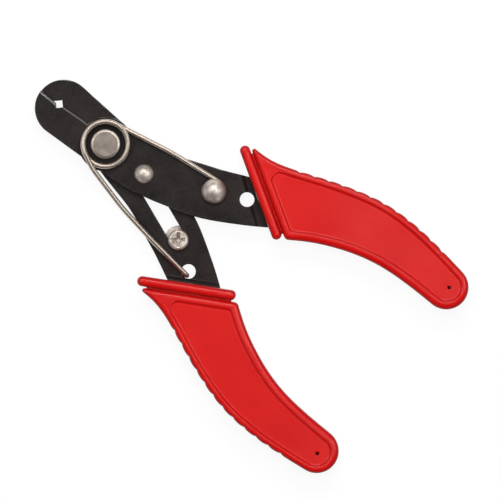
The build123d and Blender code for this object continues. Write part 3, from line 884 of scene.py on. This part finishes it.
def pivotRivetPart():
    # From the tail's flat end up the shank to the head, whose flat is rounded into its chamfer
    top, bottom = topOf("pivot_rivet"), bottomOf("pivot_rivet")
    head, soft = pivotRivet["headRadius"], pivotRivet["headSoft"]
    flat, rounding = pivotRivet["flatRadius"], pivotRivet["flatRound"]
    tail, tailSoft, shank = pivotRivet["tailRadius"], pivotRivet["tailSoft"], pivotRivet["shankRadius"]
    seat = faceTop + pivotRivet["seatGap"]
    slope = math.degrees(math.atan2(pivotRivet["chamfer"], head - flat))
    profile = [(0, bottom), (pivotRivet["tailRing"], bottom), *edged(pivotRivet["tailEdge"], tail, bottom)]
    profile += [(tail, -seat - tailSoft), (tail - tailSoft, -seat), (shank, -seat), (shank, seat)]
    profile += [(head - soft, seat), (head, seat + soft)]
    profile += edged(pivotRivet["shoulder"], head, top - pivotRivet["chamfer"])
    profile += arcEdge(90 - slope, 90, (flat, top - rounding), rounding, 6).tolist()
    profile += [(radius, top) for radius in pivotRivet["flatRings"]]
    return lathe(profile, 128)


def stopPinPart():
    # From the tail's flat end, over its rounded top edge, up the shank to the domed head
    top, bottom = topOf("stop_pin"), bottomOf("stop_pin")
    tail, shank, base = stopPin["tailRadius"], stopPin["shankRadius"], faceTop + faceGap
    tailTop = bottom + stopPin["tailHeight"]
    profile = [(0, bottom), (stopPin["tailRing"], bottom), *edged(stopPin["tailEdge"], tail, bottom),
               *edged(stopPin["tailTopEdge"], tail, tailTop), (shank, tailTop), (shank, base)]
    return lathe(np.vstack([profile, domeProfile(stopPin["radius"], base, top)]), 112, stopPin["centre"])


def springRivetPart():
    # From the tail's flat end up the shank and the wider neck, which the wire goes round, to the dome
    top, bottom = topOf("spring_rivet"), bottomOf("spring_rivet")
    tail, shank, neck = springRivet["tailRadius"], springRivet["shankRadius"], springRivet["neckRadius"]
    base = top - springRivet["domeHeight"]
    profile = [(0, bottom), (springRivet["tailRing"], bottom), *edged(springRivet["tailEdge"], tail, bottom),
               (tail, 0.0), (shank, 0.0), (shank, faceTop), (neck, faceTop + faceGap), (neck, base)]
    profile = np.vstack([profile, domeProfile(springRivet["radius"], base, top)])
    return lathe(profile, 128, springRivet["centre"])


screw = {
    "headRadius": 2.9,
    "headHeight": 2.0,
    "headSoft": 0.08,
    "edgeRound": 0.8,
    "edgeTurn": 78,
    "crownEdge": 0.1,
    "crownMiddle": 0.03,
    "crownRings": 62,
    "shankRadius": 1.5,
    "tip": [(0, 0), (0.9, 0.0), (1.2, 0.1)],
    "threadFrom": 0.3,
    "threadPitch": 0.5,
    "threadDepth": 0.16,
    "threadStep": 0.06,
    "plainRun": 0.2,
    "recessAngle": 39.2,
    "recessHalfWidth": 0.5,
    "recessHalfLength": 2.1,
    "recessDepth": 1.35,
    "recessTaper": 0.2,
    "recessPower": 1.3,
    "recessSoft": (0.05, 0.12),
}
screwCentre = (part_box("stop_screw")[0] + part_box("stop_screw")[1]) / 2 / mm
screwPlace = (screwCentre.x - origin[0], screwCentre.y - origin[1])


def screwPart():
    # Pan head with a cross recess, and a shank with a helical thread. The recess takes
    # depth * (1 - (reach / half length)^power) off the head's height, so its floor falls to the centre
    top, bottom = topOf("stop_screw"), bottomOf("stop_screw")
    headBase = top - screw["headHeight"]
    threadStop, tipRadius = headBase - screw["plainRun"], screw["tip"][-1][0]
    head, rolled, soft, base = screw["headRadius"], screw["edgeRound"], screw["headSoft"], headBase + faceGap
    shank = [(screw["shankRadius"], height)
             for height in np.arange(bottom + screw["threadFrom"], threadStop, screw["threadStep"])]
    rim = arcEdge(0, screw["edgeTurn"], (head - rolled, top - rolled), rolled, 10)
    crownRadii = np.linspace(head - rolled - screw["crownEdge"], screw["crownMiddle"], screw["crownRings"])
    crown = [(radius, top) for radius in crownRadii]
    profile = np.vstack([edged(screw["tip"], 0, bottom), shank,
                         [(screw["shankRadius"], base), (head - soft, base), (head, base + soft)],
                         rim, crown, [(0, top)]])

    def threaded(angle, radius, height):
        wave = 0.5 + 0.5 * np.cos(2 * math.pi * height / screw["threadPitch"] - angle)
        onShank = (height < threadStop) & (radius > tipRadius)
        return radius - onShank * screw["threadDepth"] * wave
    points, faces = lathe(profile, 192, reach=threaded)
    turn = math.radians(screw["recessAngle"])
    x = points[:, 0] * math.cos(turn) + points[:, 1] * math.sin(turn)
    y = -points[:, 0] * math.sin(turn) + points[:, 1] * math.cos(turn)
    lip, softness = screw["recessSoft"]

    def arm(along, across):
        reached = np.clip(np.abs(along) / screw["recessHalfLength"], 0, 1)
        halfWidth = screw["recessHalfWidth"] * (1 - screw["recessTaper"] * reached)
        inside = smoothStep((halfWidth + lip - np.abs(across)) / softness)
        return inside * (1 - reached ** screw["recessPower"])
    onTop = points[:, 2] > top - 0.05  # the crown and the last of the rim
    points[:, 2] -= onTop * screw["recessDepth"] * np.maximum(arm(x, y), arm(y, x))
    points[:, :2] += screwPlace
    return points, faces


def closedRing(rows, columns):
    # A closed profile carried round the screw's axis. Each row has a height and one radius, or one for
    # every angle, and the last row joins the first
    a = np.linspace(0, 2 * math.pi, columns, endpoint=False)
    points = np.vstack([atHeight(around(screwPlace, radius, a), height) for radius, height in rows])
    faces = [[index % len(points) for index in face] for face in ringFaces(len(rows) + 1, columns)]
    return points, faces


washer = {"radius": 4.0, "boreRadius": 1.62, "soft": 0.1, "columns": 96}


def washerPart():
    # Flat ring with softened edges
    low, high = bottomOf("stop_washer"), topOf("stop_washer")
    outer, bore, soft = washer["radius"], washer["boreRadius"], washer["soft"]
    section = [(bore + soft, low), (outer - soft, low), (outer, low + soft), (outer, high - soft),
               (outer - soft, high), (bore + soft, high), (bore, high - soft), (bore, low + soft)]
    return closedRing(section, washer["columns"])


nut = {"acrossFlats": 5.5, "turn": -20.3, "coneHeight": 0.4, "coneShare": 0.97, "coneSlope": 1.7,
       "boreRadius": 1.56, "countersink": 0.3, "columns": 240}


def nutPart():
    # Hexagon whose corners are cut by a cone at both faces: the smaller of the hexagon's reach and
    # the cone's radius at each height, with a countersunk bore
    low, high = bottomOf("stop_nut"), topOf("stop_nut")
    half, bore, sink = nut["acrossFlats"] / 2, nut["boreRadius"], nut["countersink"]
    a = np.linspace(0, 2 * math.pi, nut["columns"], endpoint=False)
    folded = np.mod(a - math.radians(nut["turn"]) + math.pi / 6, math.pi / 3) - math.pi / 6
    hexagon = half / np.cos(folded)
    rows, rise = [], nut["coneHeight"]
    for height in np.r_[np.linspace(low, low + rise, 7), np.linspace(high - rise, high, 7)]:
        cone = half * nut["coneShare"] + min(height - low, high - height) * nut["coneSlope"]
        rows.append((np.minimum(hexagon, cone), height))
    rows += [(bore + sink, high), (bore, high - sink), (bore, low + sink), (bore + sink, low)]
    return closedRing(rows, nut["columns"])


for name, part, material, slotName, body, node in (
    ("pivotRivetTurned", pivotRivetPart(), rivetFace, "rivet_steel", "back_lever_body", "pivot_rivet"),
    ("stopPinTurned", stopPinPart(), nickelPlate, "rivet_steel", "front_lever_body", "stop_pin"),
    ("springRivetTurned", springRivetPart(), nickelPlate, "rivet_steel", "front_lever_body", "spring_rivet"),
    ("stopScrewThreaded", screwPart(), nickelPlate, "screw_steel", "stop_screw_body", "stop_screw"),
    ("stopWasherSoft", washerPart(), nickelPlate, "screw_steel", "stop_carriage", "stop_washer"),
    ("stopNutChamfered", nutPart(), nickelPlate, "screw_steel", "stop_carriage", "stop_nut"),
):
    piece = makePiece(name, part, material)
    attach(piece, body)
    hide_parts(node)
print("rivets and screw made")


# Torsion spring: one wire from the loop round the spring rivet, through the coil, to the hook

spring = {
    "wireRadius": 0.7,
    "endRound": 0.25,
    "coilRadius": 6.3,
    "coilPitch": 1.46,
    "legBKnee": (16.0, 9.85),
    "legBRound": 60.0,
    "legAKnees": [(1.5, -7.65), (15.0, -10.95), (26.0, -12.5)],
    "legARounds": [15.0, 70.0, 70.0],
    "loopRadius": 2.9,
    "loopEnd": -170.0,
    "hook": (40.85, -14.12),
    "hookTail": (38.884, -15.497),
    "clearance": 0.05,
    "finePoints": 1500,
    "points": 1300,
    "easeOver": 13,
    "easePasses": 2,
    "endsKept": 8,
}


def coilTangent(point, side):
    # Angle at which a straight line from a point touches the coil, on one side or the other
    reach = math.acos(spring["coilRadius"] / math.hypot(*point))
    return math.degrees(math.atan2(point[1], point[0]) + side * reach)


def eased(path):
    # A running mean over a line's points, passed over it a few times; both ends stay where they are
    span, ends = spring["easeOver"], spring["endsKept"]
    kernel = np.ones(span) / span
    for _ in range(spring["easePasses"]):
        padded = np.pad(path, ((span // 2, span // 2), (0, 0)), mode="edge")
        soft = np.stack([np.convolve(column, kernel, mode="valid") for column in padded.T], axis=1)
        soft[:ends], soft[-ends:] = path[:ends], path[-ends:]
        path = soft
    return path


def wirePath():
    # The loop is an arc, the legs are straight runs with rounded knees, and the coil is a helix whose
    # height grows evenly with its angle
    low = faceTop + spring["clearance"] + spring["wireRadius"]
    start = coilTangent(spring["legBKnee"], 1)
    stop = 360 + coilTangent(spring["legAKnees"][0], -1)
    high = low + (360 + stop - start) / 360 * spring["coilPitch"]
    centre = np.array(springRivet["centre"])
    run = centre - np.array(spring["legBKnee"])
    runAngle = math.atan2(run[1], run[0])
    loopStart = 90 + math.degrees(runAngle + math.asin(spring["loopRadius"] / np.linalg.norm(run)))
    loop = around(centre, spring["loopRadius"], np.radians(np.linspace(spring["loopEnd"], loopStart, 160)))
    coil = around((0, 0), spring["coilRadius"], np.radians(np.linspace(start, 360 + stop, 460)))
    legB = rounded([loop[-1], spring["legBKnee"], coil[0]], [spring["legBRound"]])
    legA = rounded([coil[-1], *spring["legAKnees"], spring["hook"]], spring["legARounds"])
    hookTop = backTop + spring["clearance"] + spring["wireRadius"]
    hookLow = bottomOf("torsion_spring") + spring["wireRadius"]
    fall = (legA[:, 0] - legA[0, 0]) / (legA[-1, 0] - legA[0, 0])
    down = np.linspace((*spring["hook"], hookTop), (*spring["hook"], hookLow), 40)
    tail = np.linspace((*spring["hook"], hookLow), (*spring["hookTail"], hookLow), 24)
    parts = [atHeight(loop, low), atHeight(legB, low), atHeight(coil, np.linspace(low, high, len(coil))),
             atHeight(legA, high + (hookTop - high) * fall), down, tail]
    path = np.vstack([parts[0], *(part[1:] for part in parts[1:])])
    return evenly(eased(evenly(path, spring["finePoints"])), spring["points"])


wirePart = tube(wirePath(), spring["wireRadius"], 28, spring["endRound"])
wire = makePiece("torsionSpringWire", wirePart, wireMetal, 60)
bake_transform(wire)
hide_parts("torsion_spring")
print("spring made")


# Floor, light and camera

stage = {
    "floorSize": 3.0,
    "floorGap": 0.0002,
    "floorColour": (0.20, 0.20, 0.20),
    "floorShade": (0.12, 0.12, 0.12),
    "floorGlow": 0.90,
    "worldLight": 0.07,
    "backdropFade": (0.1, 0.28),
}


def seenDirectly(tree):
    # 1 where the camera, a mirror or glass looks at the surface, 0 where it only lights the object
    ray = tree.nodes.new("ShaderNodeLightPath")
    sight = maths(tree, "MAXIMUM", ray.outputs["Is Camera Ray"], ray.outputs["Is Glossy Ray"])
    return maths(tree, "MAXIMUM", sight, ray.outputs["Is Transmission Ray"])


def floorMaterial():
    # Pale matt floor. It is seen mostly as plain white light with a little shade, so that it stays white
    # up to the tool and keeps its shadow, and it lights the tool by its own colour
    material = bpy.data.materials.new("paleFloor")
    material.use_nodes = True
    tree = material.node_tree
    tree.nodes.remove(tree.nodes["Principled BSDF"])
    seen = seenDirectly(tree)
    diffuse = tree.nodes.new("ShaderNodeBsdfDiffuse")
    tree.links.new(mixed(tree, seen, stage["floorColour"], stage["floorShade"]), diffuse.inputs["Color"])
    glow = tree.nodes.new("ShaderNodeEmission")
    tree.links.new(maths(tree, "MULTIPLY", seen, stage["floorGlow"]), glow.inputs["Strength"])
    both = tree.nodes.new("ShaderNodeAddShader")
    tree.links.new(diffuse.outputs[0], both.inputs[0])
    tree.links.new(glow.outputs[0], both.inputs[1])
    tree.links.new(both.outputs[0], tree.nodes["Material Output"].inputs["Surface"])
    return material


def makeFloor():
    half = stage["floorSize"] / 2
    mesh = bpy.data.meshes.new("floor")
    low = cadLow.z - stage["floorGap"]
    corners = [(-half, -half, low), (half, -half, low), (half, half, low), (-half, half, low)]
    mesh.from_pydata(corners, [], [(0, 1, 2, 3)])
    mesh.materials.append(floorMaterial())
    floor = bpy.data.objects.new("floor", mesh)
    bpy.context.scene.collection.objects.link(floor)


def makeWorld():
    world = bpy.data.worlds.new("studio")
    world.use_nodes = True
    tree = world.node_tree
    back = tree.nodes["Background"]
    back.inputs["Color"].default_value = (1, 1, 1, 1)
    # A white backdrop that is seen from the floor up, and a dim ceiling above it
    height = axesOf(tree, coordinates(tree, "Generated"))["Z"]
    backdrop = ranged(tree, height, 1, stage["worldLight"], *stage["backdropFade"])
    light = maths(tree, "MAXIMUM", maths(tree, "MULTIPLY", seenDirectly(tree), backdrop), stage["worldLight"])
    tree.links.new(light, back.inputs["Strength"])
    bpy.context.scene.world = world


# Directions are given as seen in the photograph: right, up, and towards the viewer
imageTurn = math.radians(39.2)
imageRight = np.array([math.cos(imageTurn), math.sin(imageTurn), 0.0])
imageUp = np.array([-math.sin(imageTurn), math.cos(imageTurn), 0.0])
lamps = {
    "key": {"toward": (0.05, 0.66, 1.0), "distance": 0.62, "size": (0.44, 0.24), "power": 1.75,
            "onMatt": True, "onGloss": True},
    "side": {"toward": (0.70, 0.12, 1.0), "distance": 0.62, "size": (0.24, 0.36), "power": 0.85,
             "onMatt": False, "onGloss": True},
    "left": {"toward": (-0.66, 0.22, 1.0), "distance": 0.62, "size": (0.22, 0.36), "power": 0.85,
             "onMatt": False, "onGloss": True},
    "top": {"toward": (0.0, 0.02, 1.0), "distance": 0.70, "size": (0.34, 0.34), "power": 2.8,
            "onMatt": True, "onGloss": False},
}


def makeLamps():
    for name, lamp in lamps.items():
        data = bpy.data.lights.new(name, "AREA")
        data.shape = "RECTANGLE"
        data.size, data.size_y = lamp["size"]
        data.energy = lamp["power"]
        light = bpy.data.objects.new(name, data)
        right, up, near = lamp["toward"]
        toward = right * imageRight + up * imageUp + near * np.array([0, 0, 1.0])
        toward /= np.linalg.norm(toward)
        light.location = Vector(toward * lamp["distance"])
        light.visible_diffuse, light.visible_glossy = lamp["onMatt"], lamp["onGloss"]
        light.rotation_euler = Vector(toward).to_track_quat("Z", "Y").to_euler()
        bpy.context.scene.collection.objects.link(light)


# Width of the picture at the front lever's face and camera height in metres, and centre in mm from the pivot
photo = {"width": 0.140, "centre": (50.07, 2.58), "distance": 1.5, "sensor": 36.0}


def makeCamera():
    data = bpy.data.cameras.new("photoCamera")
    data.sensor_width = photo["sensor"]
    gap = photo["distance"] - (origin[2] + faceTop) * mm
    data.lens = photo["sensor"] * gap / photo["width"]
    camera = bpy.data.objects.new("photoCamera", data)
    camera.location = ((origin[0] + photo["centre"][0]) * mm, photo["centre"][1] * mm, photo["distance"])
    camera.rotation_euler = (0, 0, imageTurn)
    bpy.context.scene.collection.objects.link(camera)
    bpy.context.scene.camera = camera


makeFloor()
makeWorld()
makeLamps()
makeCamera()
bpy.context.scene.view_settings.view_transform = "Standard"
print("stage made")
